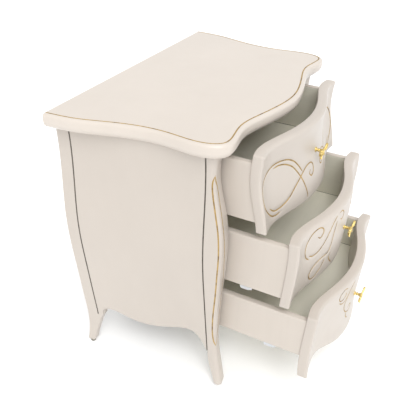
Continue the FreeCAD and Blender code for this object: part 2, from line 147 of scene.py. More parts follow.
def side_steps(line):
    """Unit vectors square to a 2-D polyline, at each of its points."""
    run = np.gradient(line, axis=0)
    run /= np.linalg.norm(run, axis=1)[:, None]
    return np.column_stack([-run[:, 1], run[:, 0]])


class Shell:
    """Faces gathered in (x, depth, z) millimetres and welded into one object."""

    def __init__(self):
        self.points = []
        self.faces = []
        self.slots = []

    def add(self, points):
        start = len(self.points)
        self.points.extend(np.asarray(points, float).tolist())
        return start

    def polygons(self, points, faces, slots=0):
        start = self.add(points)
        self.faces.extend([[start + i for i in face] for face in faces])
        self.slots.extend([slots] * len(faces) if isinstance(slots, int) else slots)

    def strips(self, rows, closed=True, slot=lambda k, i: 0):
        """Quads between rows of equally many points. slot(k, i) is a quad's material."""
        rows = [np.asarray(row, float) for row in rows]
        count = len(rows[0])
        starts = [self.add(row) for row in rows]
        for k, (a, b) in enumerate(zip(starts, starts[1:])):
            for i in range(count if closed else count - 1):
                j = (i + 1) % count
                self.faces.append([a + i, a + j, b + j, b + i])
                self.slots.append(slot(k, i))

    def caps(self, rows):
        """Flat faces over the first and last of the closed rows."""
        for row in (rows[0], rows[-1]):
            self.polygons(row, [list(range(len(row)))])

    def build(self, name, body, materials, stands_for=(), opening=0, angle=32,
              mirror=False):
        points = np.asarray(self.points)
        sign = -1 if mirror else 1
        place = np.column_stack([sign * points[:, 0], BACK - points[:, 1] - opening,
                                 points[:, 2]]) * MM
        mesh = bpy.data.meshes.new(name)
        mesh.from_pydata(place.tolist(), [], self.faces)
        mesh.polygons.foreach_set("material_index", self.slots)
        for material in materials:
            mesh.materials.append(material)
        edit = bmesh.new()
        edit.from_mesh(mesh)
        bmesh.ops.remove_doubles(edit, verts=edit.verts, dist=0.00002)
        bmesh.ops.dissolve_degenerate(edit, edges=edit.edges, dist=0.000001)
        bmesh.ops.recalc_face_normals(edit, faces=edit.faces)
        edit.to_mesh(mesh)
        edit.free()
        return finish_piece(mesh, name, body, stands_for, angle)


def finish_piece(mesh, name, body, stands_for=(), angle=32):
    mesh.polygons.foreach_set("use_smooth", [True] * len(mesh.polygons))
    mesh.set_sharp_from_angle(angle=math.radians(angle))
    piece = bpy.data.objects.new(name, mesh)
    bpy.context.scene.collection.objects.link(piece)
    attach(piece, body)
    if stands_for:
        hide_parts(*stands_for)
    return piece


# ---- carved and gilded lines ----------------------------------------------------------------

CARVE_HALF = 1.45
CARVE_DEPTH = 0.8


def stroke(points, half=CARVE_HALF, taper=9, step=2.2):
    """A carved line: its middle, its half width at each point, and the square direction."""
    line = resample(points, step)
    run = np.r_[0, np.cumsum(np.linalg.norm(np.diff(line, axis=0), axis=1))]
    to_end = np.minimum(run, run[-1] - run)
    width = half * np.clip((to_end + 0.8) / taper, 0.1, 1) ** 0.5
    return line, width, side_steps(line)


def mirrored_strokes(strokes):
    flip = np.array([-1, 1])
    return strokes + [(line * flip, width, step * flip) for line, width, step in strokes]


def nearest(points, strokes):
    """Distance to the nearest stroke as a share of its half width there, and that half width."""
    best = np.full(len(points), 1e9)
    half = np.full(len(points), 1.0)
    for line, width, _ in strokes:
        a, b = line[:-1], line[1:]
        box_low, box_high = line.min(0) - 8, line.max(0) + 8
        near = np.nonzero(((points > box_low) & (points < box_high)).all(1))[0]
        if not len(near):
            continue
        p = points[near][:, None, :]
        span = (b - a)[None]
        t = np.clip(((p - a[None]) * span).sum(2) / (span ** 2).sum(2), 0, 1)
        gap = np.linalg.norm(p - (a[None] + t[..., None] * span), axis=2)
        wide = width[:-1][None] * (1 - t) + width[1:][None] * t
        share = gap / wide
        pick = share.argmin(1)
        rows = np.arange(len(near))
        closer = share[rows, pick] < best[near]
        best[near[closer]] = share[rows, pick][closer]
        half[near[closer]] = wide[rows, pick][closer]
    return best, half


def within(points, outline):
    """Which 2-D points lie inside a closed outline."""
    a, b = outline, np.roll(outline, -1, axis=0)
    x, z = points[:, :1], points[:, 1:]
    with np.errstate(divide="ignore", invalid="ignore"):
        crossing = ((a[:, 1] > z) != (b[:, 1] > z)) & (
            x < (b[:, 0] - a[:, 0]) * (z - a[:, 1]) / (b[:, 1] - a[:, 1]) + a[:, 0])
    return crossing.sum(1) % 2 == 1


def carved_face(outline, strokes, spacing):
    """Triangles that fill a 2-D outline and follow the strokes' edges.

    Returns the points, how deep each is carved, the triangles and each one's material slot."""
    outline = np.asarray(outline, float)
    count = len(outline)
    points = [outline]
    edges = []
    start = count
    for line, width, step in strokes:
        for side in (-1, 0, 1):
            points.append(line + step * (side * width)[:, None])
            edges.extend((start + i, start + i + 1) for i in range(len(line) - 1))
            start += len(line)
    low, high = outline.min(0), outline.max(0)
    columns = np.arange(low[0] + spacing / 2, high[0], spacing)
    rows = np.arange(low[1] + spacing / 2, high[1], spacing)
    grid = np.array([(x + (j % 2) * spacing / 2, z) for j, z in enumerate(rows) for x in columns])
    fixed = np.vstack(points)
    gap = np.full(len(grid), 1e9)
    for block in np.array_split(fixed, max(1, len(fixed) // 400)):
        gap = np.minimum(gap, np.linalg.norm(grid[:, None] - block[None], axis=2).min(1))
    points.append(grid[within(grid, outline) & (gap > spacing * 0.45)])
    everything = [Vector(p) for p in np.vstack(points)]
    result = delaunay_2d_cdt(everything, edges, [list(range(count))], 1, 1e-4, False)
    flat = np.array([tuple(v) for v in result[0]])
    triangles = np.array(result[2])
    triangles = triangles[within(flat[triangles].mean(1), outline)]
    if not strokes:
        return flat, np.zeros(len(flat)), triangles, [0] * len(triangles)
    share, half = nearest(flat, strokes)
    carved = CARVE_DEPTH * (half / CARVE_HALF) * np.clip(1 - share, 0, 1)
    middle, _ = nearest(flat[triangles].mean(1), strokes)
    return flat, carved, triangles, [int(m < 1) for m in middle]


# ---- materials ------------------------------------------------------------------------------

def new_material(name):
    material = bpy.data.materials.new(name)
    material.use_nodes = True
    tree = material.node_tree
    return material, tree, tree.nodes["Principled BSDF"]


def node(tree, kind, inputs=None, **settings):
    made = tree.nodes.new(kind)
    for key, value in settings.items():
        setattr(made, key, value)
    for key, value in (inputs or {}).items():
        made.inputs[key].default_value = value
    return made


def coordinates(tree, scale):
    """Object coordinates, stretched by a scale along each axis."""
    place = node(tree, "ShaderNodeTexCoord")
    mapping = node(tree, "ShaderNodeMapping", {"Scale": scale})
    tree.links.new(place.outputs["Object"], mapping.inputs["Vector"])
    return mapping.outputs["Vector"]


def noise(tree, scale, size, detail=3.0, roughness=0.5):
    made = node(tree, "ShaderNodeTexNoise", {
        "Scale": size, "Detail": detail, "Roughness": roughness})
    tree.links.new(coordinates(tree, scale), made.inputs["Vector"])
    return made.outputs["Fac"]


def ramp(tree, source, stops):
    """A colour ramp; each stop is (place, colour)."""
    made = node(tree, "ShaderNodeValToRGB")
    elements = made.color_ramp.elements
    while len(elements) < len(stops):
        elements.new(0.5)
    for element, (place, colour) in zip(elements, stops):
        element.position = place
        element.color = (*colour, 1)
    tree.links.new(source, made.inputs["Fac"])
    return made.outputs["Color"]


def span(tree, source, low, high):
    """Maps noise, which mostly lies between 0.3 and 0.7, to low..high."""
    made = node(tree, "ShaderNodeMapRange", {
        "From Min": 0.3, "From Max": 0.7, "To Min": low, "To Max": high}, clamp=False)
    tree.links.new(source, made.inputs["Value"])
    return made.outputs["Result"]


def multiply(tree, first, second, share=1.0):
    made = node(tree, "ShaderNodeMix", data_type="RGBA", blend_type="MULTIPLY")
    made.inputs[0].default_value = share
    tree.links.new(first, made.inputs[6])
    tree.links.new(second, made.inputs[7])
    return made.outputs[2]


def bump(tree, shader, sources):
    """Bumps laid on each other; each source is (height, strength, distance in metres)."""
    last = None
    for height, strength, distance in sources:
        made = node(tree, "ShaderNodeBump", {"Strength": strength, "Distance": distance})
        tree.links.new(height, made.inputs["Height"])
        if last:
            tree.links.new(last, made.inputs["Normal"])
        last = made.outputs["Normal"]
    tree.links.new(last, shader.inputs["Normal"])


def scaled(colour, factor):
    return tuple(min(1, c * factor) for c in colour)


def lacquer(name, colour, roughness=0.38, coat=0.25):
    """Sprayed satin lacquer: slow changes of tone, a fine orange peel, and a thin clear coat."""
    material, tree, shader = new_material(name)
    tone = ramp(tree, noise(tree, (1, 1, 1), 5.0, 4.0), [
        (0, scaled(colour, 0.95)), (1, scaled(colour, 1.05))])
    wash = ramp(tree, noise(tree, (1, 1, 0.4), 45.0, 2.0), [
        (0, (0.98, 0.977, 0.972)), (1, (1, 1, 1))])
    tree.links.new(multiply(tree, tone, wash), shader.inputs["Base Color"])
    tree.links.new(span(tree, noise(tree, (1, 1, 1), 30.0, 3.0), roughness - 0.03,
                        roughness + 0.04), shader.inputs["Roughness"])
    shader.inputs["Coat Weight"].default_value = coat
    shader.inputs["Coat Roughness"].default_value = 0.3
    bump(tree, shader, [(noise(tree, (1, 1, 1), 260.0, 1.0), 0.03, 0.0003)])
    return material


def painted_wood(name, colour, grain, roughness=0.5, strength=0.12, depth=0.05):
    """Thin paint over wood or board; grain is the scale along X, Y and Z, and depth how far its
    lines darken the paint."""
    material, tree, shader = new_material(name)
    fibre = noise(tree, grain, 5.0, 6.0, 0.6)
    tone = ramp(tree, fibre, [
        (0.1, scaled(colour, 1 - 2 * depth)), (0.5, colour), (0.9, scaled(colour, 1 + depth))])
    cloud = ramp(tree, noise(tree, (1, 1, 1), 7.0, 3.0), [
        (0.1, (0.94, 0.94, 0.93)), (0.9, (1, 1, 1))])
    tree.links.new(multiply(tree, tone, cloud), shader.inputs["Base Color"])
    tree.links.new(span(tree, fibre, roughness + 0.08, roughness - 0.06),
                   shader.inputs["Roughness"])
    bump(tree, shader, [
        (fibre, strength, 0.0005),
        (noise(tree, (1, 1, 1), 380.0, 1.0), 0.08, 0.0003),
    ])
    return material


def gilding(name, colour, dark, metallic=0.55):
    """Gold paint brushed into a carved line: uneven, dull in places and darker in random patches.
    Given near-black colours it makes the painted shade of grooves and joints.
    """
    material, tree, shader = new_material(name)
    patches = noise(tree, (1, 1, 1), 70.0, 5.0, 0.6)
    tone = ramp(tree, patches, [(0.32, dark), (0.5, colour), (0.7, scaled(colour, 1.25))])
    tree.links.new(tone, shader.inputs["Base Color"])
    tree.links.new(span(tree, patches, 0.55, 0.34), shader.inputs["Roughness"])
    shader.inputs["Metallic"].default_value = metallic
    bump(tree, shader, [(noise(tree, (1, 1, 1), 600.0, 2.0), 0.25, 0.0002)])
    return material


def cast_metal(name, colour, dark, roughness, size=260.0, strength=0.25):
    """Cast or plated metal: darker and lighter in random patches, with fine pits."""
    material, tree, shader = new_material(name)
    patches = noise(tree, (1, 1, 1), size, 4.0, 0.6)
    tone = ramp(tree, patches, [(0.3, dark), (0.48, colour), (0.75, scaled(colour, 1.12))])
    tree.links.new(tone, shader.inputs["Base Color"])
    tree.links.new(span(tree, patches, roughness + 0.12, roughness - 0.05),
                   shader.inputs["Roughness"])
    shader.inputs["Metallic"].default_value = 1.0
    bump(tree, shader, [
        (patches, strength, 0.0003), (noise(tree, (1, 1, 1), size * 5, 2.0), 0.12, 0.0001)])
    return material


def moulded_plastic(name, colour):
    material, tree, shader = new_material(name)
    cloud = noise(tree, (1, 1, 1), 60.0, 3.0)
    tone = ramp(tree, cloud, [(0.3, scaled(colour, 0.95)), (0.7, colour)])
    tree.links.new(tone, shader.inputs["Base Color"])
    tree.links.new(span(tree, cloud, 0.34, 0.48), shader.inputs["Roughness"])
    shader.inputs["Subsurface Weight"].default_value = 0.08
    shader.inputs["Subsurface Scale"].default_value = 0.002
    bump(tree, shader, [(noise(tree, (1, 1, 1), 900.0, 1.0), 0.12, 0.0002)])
    return material


IVORY = (0.547, 0.494, 0.441)
INSIDE = (0.80, 0.775, 0.67)
IVORY_LACQUER = lacquer("ivory_lacquer", IVORY)
# The top takes the ivory lacquer 16% lighter: painted light on its upward face.
TOP_LACQUER_PAINTED_LIGHTER = lacquer("top_lacquer_painted_lighter", scaled(IVORY, 1.16), 0.36, 0.35)
GOLD = gilding("gilded_line", (0.39, 0.262, 0.097), (0.18, 0.115, 0.047), 0.3)
# Painted shade: a near-black colour for the grooves beside the legs, whose gilded lines lie in
# shade, and for the joint just above each box's bottom board.
SHADOW_LINE = gilding("painted_groove_and_joint_shade", (0.12, 0.105, 0.085), (0.06, 0.05, 0.04), 0.0)
BOX_OUTSIDE = painted_wood("drawer_side_lacquer", scaled(IVORY, 1.08), (14, 14, 1), 0.4, 0.05,
                           0.015)
BOX_INSIDE = painted_wood("drawer_inside_paint", INSIDE, (1, 1, 14), depth=0.03)
BOX_BACK = painted_wood("box_back_paint", INSIDE, (14, 1, 1), depth=0.03)
# The bottom boards take the inside paint 18% lighter: painted light against the shade inside the
# drawers.
TRAY_PAINT_PAINTED_LIGHTER = painted_wood("tray_paint_painted_lighter", scaled(INSIDE, 1.18), (1, 12, 1), 0.55, depth=0.03)
CARCASS_PAINT = painted_wood("carcass_paint", scaled(INSIDE, 0.42), (2, 12, 2), 0.6)
BACKING = painted_wood("backing_board", (0.50, 0.43, 0.33), (8, 1, 8), 0.7, 0.2, 0.035)
BRASS = cast_metal("cast_brass", (0.80, 0.62, 0.24), (0.34, 0.23, 0.07), 0.24)
STEEL = cast_metal("zinc_steel", (0.58, 0.60, 0.62), (0.36, 0.38, 0.40), 0.34, 90.0, 0.08)
GLIDE_STEEL = cast_metal("glide_steel", (0.30, 0.29, 0.24), (0.12, 0.11, 0.09), 0.45)
WHITE_PLASTIC = moulded_plastic("white_plastic", (0.58, 0.59, 0.61))


# ---- the top --------------------------------------------------------------------------------

def quarter(count):
    """Angles of a quarter turn."""
    return [math.pi / 2 * k / (count - 1) for k in range(count)]


def make_top():
    """The moulded top with a gilded line just inside its edge."""
    half = [list(p) for p in TOP_OUTLINE]
    poles = half + [[-x, depth] for x, depth in half[-2::-1]]
    edge = resample(spline(poles, np.linspace(0, 1, 500)), 3.0)
    inward = side_steps(edge)
    if inward[len(edge) // 2][1] > 0:
        inward = -inward

    def ring(inset, z):
        row = edge + inward * inset
        row[0, 1] = row[-1, 1] = 0
        return np.column_stack([row, np.full(len(row), z)])

    upper_round, lower_round, line_in, under = 7, 15, 9.0, 26
    rows = [ring(under, TOP_LOW)]
    rows += [ring(lower_round * (1 - math.sin(t)), TOP_LOW + lower_round * (1 - math.cos(t)))
             for t in quarter(10)]
    rows += [ring(upper_round * (1 - math.cos(t)), TOP_HIGH - upper_round * (1 - math.sin(t)))
             for t in quarter(8)]
    gilded = len(rows)
    rows += [ring(line_in - CARVE_HALF, TOP_HIGH), ring(line_in, TOP_HIGH - CARVE_DEPTH),
             ring(line_in + CARVE_HALF, TOP_HIGH)]
    shell = Shell()
    shell.strips(rows, closed=False, slot=lambda k, i: int(k >= gilded))
    for row in (rows[-1], rows[0]):
        flat, _, triangles, _ = carved_face(row[:, :2], [], 22)
        height = np.full(len(flat), row[0][2])
        shell.polygons(np.column_stack([flat, height]), triangles.tolist())
    rim = [row[-1] for row in rows] + [row[0] for row in rows[::-1]]
    shell.polygons(rim, [list(range(len(rim)))])
    shell.build("moulded_top", "carcass", [TOP_LACQUER_PAINTED_LIGHTER, GOLD], ["top_panel"],
                angle=24)


# ---- sides and legs -------------------------------------------------------------------------

# The groove between boards, the rounds of feet, legs and lower edges, and lesser easings.
GROOVE = 1.5
FOOT_ROUND = 3.8
LEG_ROUND = 9.0
LOW_ROUND = 2.5
FLUSH = 0.1
EASE = 0.8


def make_side_panel(mirror, name, stands_for):
    """A bombe side board. Its upright edges are chamfered where they meet the legs, and its lower
    edge is rounded except where it lies flush on the rear leg."""
    hair = 0.02
    rear, front = REAR_FRONT + hair, POST_BACK - hair
    columns = np.union1d(np.linspace(rear + GROOVE, front - GROOVE, 64),
                         [place for place, _ in APRON_SIDE[:-1]])
    apron_start = APRON_SIDE[0]
    low = along(APRON_SIDE, 0, np.clip(columns, apron_start[0], POST_BACK), 1)
    on_leg = columns <= apron_start[0]
    low = np.where(on_leg, apron_start[1], low)
    places = np.r_[rear, columns, front]
    lows = np.r_[low[0], low, low[-1]]
    insets = np.zeros(len(places))
    insets[[0, -1]] = GROOVE
    round_size = np.r_[FLUSH, np.where(on_leg, FLUSH, LOW_ROUND), LOW_ROUND]

    def row(heights, extra):
        return np.column_stack([-(side_x(places, heights) - extra), places, heights])

    rows = [row(lows, np.full(len(places), SIDE_THICKNESS))]
    rows += [row(lows + round_size * (1 - math.cos(t)), insets + round_size * (1 - math.sin(t)))
             for t in quarter(5)]
    start = lows + round_size
    rows += [row(start + (TOP_LOW - start) * part, insets) for part in np.linspace(0, 1, 76)[1:]]
    last_outside = len(rows) - 1
    rows += [row(start + (TOP_LOW - start) * part, np.full(len(places), SIDE_THICKNESS))
             for part in np.linspace(1, 0, 40)]
    chamfers = (0, len(places) - 2)
    shell = Shell()
    # The chamfer strips at the upright edges take SHADOW_LINE: painted shade in the grooves.
    shell.strips(rows + rows[:1], closed=False,
                 slot=lambda k, i: int(i in chamfers and 1 <= k < last_outside))
    for end in (0, -1):
        shell.polygons([r[end] for r in rows], [list(range(len(rows)))])
    shell.build(name, "carcass", [IVORY_LACQUER, SHADOW_LINE], [stands_for],
                mirror=mirror)


def corner(z):
    """Where the front and side surfaces meet at height z, as (half width, depth)."""
    x = np.full(np.shape(z), 250.0)
    for _ in range(12):
        depth = front_depth(x, z)
        x = side_x(depth, z)
    return x, depth


def curve_or(curve, z, above):
    """A leg's curved lower edge, and the straight value above the curve's start."""
    top = curve[0][1]
    low = along(curve, 1, np.minimum(z, top), 0)
    return np.where(z > top + 0.005, above, low)


# The leg's carved loop, as (distance round the post from the start of its corner, z).
LEG_LOOP = (
    [(3.5, 545), (7.5, 537), (9.5, 526), (9.9, 508), (10.2, 480), (10.6, 458), (10.3, 434),
     (9.8, 400), (9.4, 370), (9.9, 330), (10, 280), (11, 244), (11.9, 212), (11.9, 180),
     (11.2, 158), (9.5, 139), (7.6, 126), (4, 112)],
    [(4.5, 543), (1.9, 531), (-3.2, 518), (-5.8, 500), (-5.2, 470), (-4.8, 440), (-7.4, 408),
     (-10.5, 378), (-13, 352), (-16, 325), (-18.3, 300), (-18.6, 272), (-15.8, 228),
     (-12, 188), (-7, 150), (-1, 125), (3.5, 113)],
)


def tucked(rows, round_size):
    """A foot's bottom rows, drawn in towards their middle so that its lower edge is rounded.

    rows is a function of height that gives a closed row of points."""
    made = []
    for t in quarter(6)[::-1]:
        row = rows(GLIDE + round_size * (1 - math.cos(t)))
        inward = row.mean(0) - row
        inward /= np.linalg.norm(inward, axis=1)[:, None]
        made.append(row + inward * round_size * (1 - math.sin(t)))
    return made


def make_front_leg(mirror, name, stands_for):
    """A front post: the carved skin runs from its inner edge round the corner to the side."""
    above_curves = 100
    z = np.r_[np.linspace(GLIDE + FOOT_ROUND, above_curves, 30),
              np.linspace(above_curves, TOP_LOW, 96)[1:]]
    edge_round, fade, across = 1.5, 6, 25

    def limits(z):
        """The inner edge, where the corner begins, and the back edge, at each height."""
        return (curve_or(FRONT_LEG_INSIDE, z, POST_HALF) + edge_round, corner(z)[0] - LEG_ROUND,
                curve_or(FRONT_LEG_BACK, z, POST_BACK))

    def skin(u, z, carve=0):
        """u runs along the skin, and is 0 where the front face turns into the corner."""
        _, turn_x, _ = limits(z)
        turn_depth = front_depth(turn_x, z)
        angle = np.clip(u / LEG_ROUND, 0, math.pi / 2)
        flat_x = turn_x + np.minimum(u, 0)
        past = np.maximum(u - LEG_ROUND * math.pi / 2, 0)
        side_depth = turn_depth - LEG_ROUND - past
        x = np.where(u <= 0, flat_x, turn_x + LEG_ROUND * np.sin(angle))
        depth = np.where(u <= 0, front_depth(flat_x, z),
                         turn_depth - LEG_ROUND * (1 - np.cos(angle)))
        drift = turn_x + LEG_ROUND - side_x(turn_depth - LEG_ROUND, z)
        x = np.where(past > 0, side_x(side_depth, z) + drift * np.exp(-past / fade), x)
        depth = np.where(past > 0, side_depth, depth)
        return np.column_stack([-(x - carve * np.sin(angle)), depth - carve * np.cos(angle), z])

    def skin_edges(z):
        start, turn_x, back = limits(z)
        turn_depth = front_depth(turn_x, z)
        return start - turn_x, LEG_ROUND * (math.pi / 2 - 1) + turn_depth - back - GROOVE

    def behind(z):
        """The lines of the post's other faces, from its outer back edge to its inner front."""
        start, _, back = limits(z)
        inner, outer = skin_edges(z)
        outer_back, inner_front = skin(outer, z), skin(inner, z)
        x_inner = edge_round - start
        lines = [outer_back, np.column_stack([outer_back[:, 0] + GROOVE, back, z]),
                 np.column_stack([x_inner - EASE, back, z]),
                 np.column_stack([x_inner, back + EASE, z])]
        for t in quarter(4)[:-1]:
            lines.append(np.column_stack([
                x_inner - edge_round * (1 - math.cos(t)),
                inner_front[:, 1] - edge_round * (1 - math.sin(t)), z]))
        return lines + [inner_front]

    def ring(height):
        """The whole section at one height."""
        at = np.full(1, float(height))
        inner, outer = skin_edges(at)
        u = np.linspace(inner[0], outer[0], across)
        others = [line[0] for line in behind(at)[1:-1]]
        return np.vstack([skin(u, np.full(across, float(height))), others])

    inner, outer = skin_edges(z)
    foot_edge = np.linspace(inner[0], outer[0], across)[1:-1]
    top_edge = np.linspace(outer[-1], inner[-1], across)[1:-1]
    outline = np.vstack([
        np.column_stack([foot_edge, np.full(across - 2, z[0])]), np.column_stack([outer, z]),
        np.column_stack([top_edge, np.full(across - 2, z[-1])]),
        np.column_stack([inner, z])[::-1]])
    strokes = [stroke(points, taper=12) for points in LEG_LOOP]
    flat, carve, triangles, slots = carved_face(outline, strokes, 5)
    shell = Shell()
    shell.polygons(skin(flat[:, 0], flat[:, 1], carve), triangles.tolist(), slots)
    groove_low = FRONT_LEG_BACK[0][1] - 1
    # The back-edge strip above the apron takes SHADOW_LINE: painted shade in the groove.
    shell.strips(behind(z), closed=False, slot=lambda k, i: 2 * int(k == 0 and z[i] > groove_low))
    foot = tucked(ring, FOOT_ROUND)
    shell.strips(foot)
    shell.caps([foot[-1], ring(z[-1])])
    shell.build(name, "carcass", [IVORY_LACQUER, GOLD, SHADOW_LINE], [stands_for],
                mirror=mirror)


def make_rear_leg(mirror, name, stands_for):
    """A post flush with the back; below the side panel it narrows to a thin splayed foot."""
    ledge, above_curves = REAR_LEG_FRONT[0][1], REAR_LEG_INSIDE[0][1] + 2
    round_size, soft, flat_steps = 3.5, 1.8, 8
    round_back = quarter(4)
    heights = np.r_[np.linspace(GLIDE + round_size, ledge, 34),
                    np.linspace(ledge + 0.01, above_curves, 16),
                    np.linspace(above_curves, TOP_LOW, 76)[1:]]

    def lines(z):
        """The post's upright lines, once round it."""
        inner = curve_or(REAR_LEG_INSIDE, z, POST_HALF)
        front = curve_or(REAR_LEG_FRONT, z, REAR_FRONT)
        groove = np.where(z > ledge, GROOVE, soft)

        def outer_line(depth, inset):
            return np.column_stack([inset - side_x(depth, z), depth, z])

        def inner_line(depth, inset):
            return np.column_stack([-(inner + inset), depth, z])

        made = [outer_line(np.full(len(z), soft * (1 - math.cos(t))), soft * (1 - math.sin(t)))
                for t in round_back]
        made += [outer_line(soft + (front - groove - soft) * part, 0)
                 for part in np.linspace(0, 1, flat_steps + 1)[1:]]
        made.append(outer_line(front, groove))
        made += [inner_line(front, soft), inner_line(front - soft, 0)]
        made += [inner_line(np.full(len(z), soft), 0), inner_line(np.zeros(len(z)), soft)]
        return made

    start_groove = len(round_back) + flat_steps - 1
    shell = Shell()
    upright = lines(heights)
    # The front-edge strip above the ledge takes SHADOW_LINE: painted shade in the groove.
    shell.strips(upright + upright[:1], closed=False,
                 slot=lambda k, i: int(k == start_groove and heights[i] > ledge))
    foot = tucked(lambda height: np.vstack(lines(np.full(1, height))), round_size)
    shell.strips(foot)
    shell.caps([foot[-1], [line[-1] for line in upright]])
    shell.build(name, "carcass", [IVORY_LACQUER, SHADOW_LINE], [stands_for],
                mirror=mirror)


# Each glide's (distance from the middle, depth, radius).
GLIDES = {"rear": (266, 9.5, 6.0), "front": (238, 344.5, 4.2)}


def make_glide(end, is_right, side):
    """A round steel stud with a softened edge, under one foot."""
    across, depth, radius = GLIDES[end]
    angles = np.linspace(0, 2 * math.pi, 32, endpoint=False)
    profile = ((radius - 1.2, 0.0), (radius - 0.3, 0.4), (radius, 1.3), (radius, GLIDE))
    rows = [np.column_stack([-across + size * np.cos(angles), depth + size * np.sin(angles),
                             np.full(len(angles), height)]) for size, height in profile]
    shell = Shell()
    shell.strips(rows)
    shell.caps(rows)
    shell.build(f"{side}_{end}_glide", "carcass", [GLIDE_STEEL], ["floor_glides"],
                mirror=is_right)


# ---- drawers --------------------------------------------------------------------------------

# The fronts' half width, their lower and upper edges, the rounds of their edges, and the height
# of the strip of painted shade along the joint above a box's bottom board.
FRONT_HALF = 208
FRONT_HEIGHTS = {"top": (421, 581), "middle": (261, 418), "bottom": (82, 258)}
RIM = 6.5
LIP = 3.0
JOINT_SHADE_HEIGHT = 1.1
# The carved lines on the left half of each front, as (x, z); the right half mirrors them.
SCROLLS = {
    "top": [
        [(63, 489), (76, 508), (91, 523), (113, 534), (145, 538), (168, 533), (187, 522),
         (196, 509), (199, 491), (194, 469), (174, 444), (157, 436), (141, 436)],
        [(149, 530), (133, 530), (113, 524), (92, 510), (73, 485), (61, 462), (53, 437),
         (54, 429)],
        [(175, 459), (160, 447), (138, 445), (114, 452), (94, 466), (71, 481), (50, 493),
         (30, 495), (20, 486), (21, 472), (31, 467), (38, 474), (33, 481)],
    ],
    "middle": [
        [(121, 388), (112, 382), (104, 390), (106, 401), (117, 408), (133, 408), (148, 402),
         (160, 391), (163, 376), (155, 357), (141, 343)],
        [(142, 353), (127, 345), (108, 348), (92, 363), (80, 381), (68, 397), (56, 406)],
        [(55, 392), (61, 365), (63, 337), (69, 321), (92, 319), (110, 313), (123, 302),
         (125, 288), (117, 276), (104, 276), (93, 284), (84, 295), (78, 309)],
        [(56, 311), (60, 301), (50, 286), (37, 273)],
        [(47, 408), (34, 407), (25, 396), (33, 386), (41, 391)],
    ],
    "bottom": [
        [(70, 245), (84, 249), (97, 240), (96, 226), (84, 218), (72, 224), (74, 235)],
        [(94, 216), (78, 205), (62, 210), (50, 228), (36, 243)],
        [(52, 226), (64, 190), (50, 160), (28, 147), (20, 158), (28, 168), (38, 163)],
        [(44, 152), (36, 133), (24, 122)],
    ],
}


def apron_height(x):
    """Height of the bottom front's scalloped lower edge."""
    half = [list(p) for p in APRON_FRONT]
    poles = [[-a, b] for a, b in half] + half[-2::-1]
    return along(poles, 0, x, 1)


def front_outline(drawer, side_inset, low_inset):
    """A front's outline in x and z, set in at its ends and top, and at its lower edge.

    The third column is 1 where the end and top inset rules and 0 along the lower edge; it rises
    round the lower corners and over the first centimetre of the ends."""
    low, high = FRONT_HEIGHTS[drawer]
    half = FRONT_HALF - side_inset
    corner_round, low_corner, least = 3.5, 1.6, 0.04
    turn = max(corner_round - side_inset, least)
    tuck = max(low_corner - low_inset, least)
    wide, tall = 96, 34
    across = np.linspace(-half + tuck, half - tuck, wide)
    if drawer == "bottom":
        bed = apron_height(across)
        slope = np.gradient(bed, across)
        bed = bed + low_inset * np.sqrt(1 + slope ** 2)
    else:
        bed = np.full(len(across), float(low) + low_inset)
    points = [(x, z, 0.0) for x, z in zip(across, bed)]
    foot = bed[-1]
    arc = np.radians(np.linspace(0, 90, 5))[1:-1]
    points += [(half - tuck * (1 - math.sin(t)), foot + tuck * (1 - math.cos(t)), t / 1.6)
               for t in arc]
    top = high - side_inset
    rise = np.linspace(foot + tuck, top - turn, tall)
    points += [(half, z, min(1.0, 0.7 + (z - foot) / 30)) for z in rise]
    points += [(half - turn * (1 - math.cos(t)), top - turn * (1 - math.sin(t)), 1.0) for t in arc]
    points += [(x, top, 1.0) for x in np.linspace(half - turn, turn - half, 92)]
    left = [(-x, z, w) for x, z, w in points[wide:wide + tall + 2 * len(arc)]][::-1]
    return np.array(points + left)


def make_front(drawer, opening):
    """A bombe, serpentine drawer front with a rounded rim and gilded carved scrolls."""
    thick = FRONT_THICKNESS

    def ring(side_inset, low_inset, side_drop, low_drop):
        x, z, share = front_outline(drawer, side_inset, low_inset).T
        drop = low_drop + (side_drop - low_drop) * share
        return np.column_stack([x, front_depth(x, z) - drop, z])

    rows = [ring(RIM * (1 - math.sin(t)), LIP * (1 - math.sin(t)),
                 RIM * (1 - math.cos(t)), LIP * (1 - math.cos(t))) for t in quarter(9)]
    rear_round = 1.5
    rows += [ring(rear_round * (1 - math.cos(t)), rear_round * (1 - math.cos(t)),
                  thick - rear_round * (1 - math.sin(t)), thick - rear_round * (1 - math.sin(t)))
             for t in quarter(4)]
    strokes = mirrored_strokes([stroke(points) for points in SCROLLS[drawer]])
    face = front_outline(drawer, RIM, LIP)[:, :2]
    flat, carve, triangles, slots = carved_face(face, strokes, 7)
    shell = Shell()
    shell.polygons(np.column_stack([flat[:, 0], front_depth(*flat.T) - carve, flat[:, 1]]),
                   triangles.tolist(), slots)
    shell.strips(rows)
    flat, _, triangles, _ = carved_face(rows[-1][:, [0, 2]], [], 14)
    shell.polygons(np.column_stack([flat[:, 0], front_depth(*flat.T) - thick, flat[:, 1]]),
                   triangles.tolist())
    shell.build(f"{drawer}_carved_front", f"{drawer}_drawer", [IVORY_LACQUER, GOLD],
                [f"{drawer}_drawer_front"], opening)


def limits_of(cad_node, opening=0):
    """A CAD node's box as (x, depth, z) limits in millimetres, with its drawer shut."""
    low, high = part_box(cad_node)
    depth = (BACK - high.y / MM - opening, BACK - low.y / MM - opening)
    return (low.x / MM, high.x / MM), depth, (low.z / MM, high.z / MM)


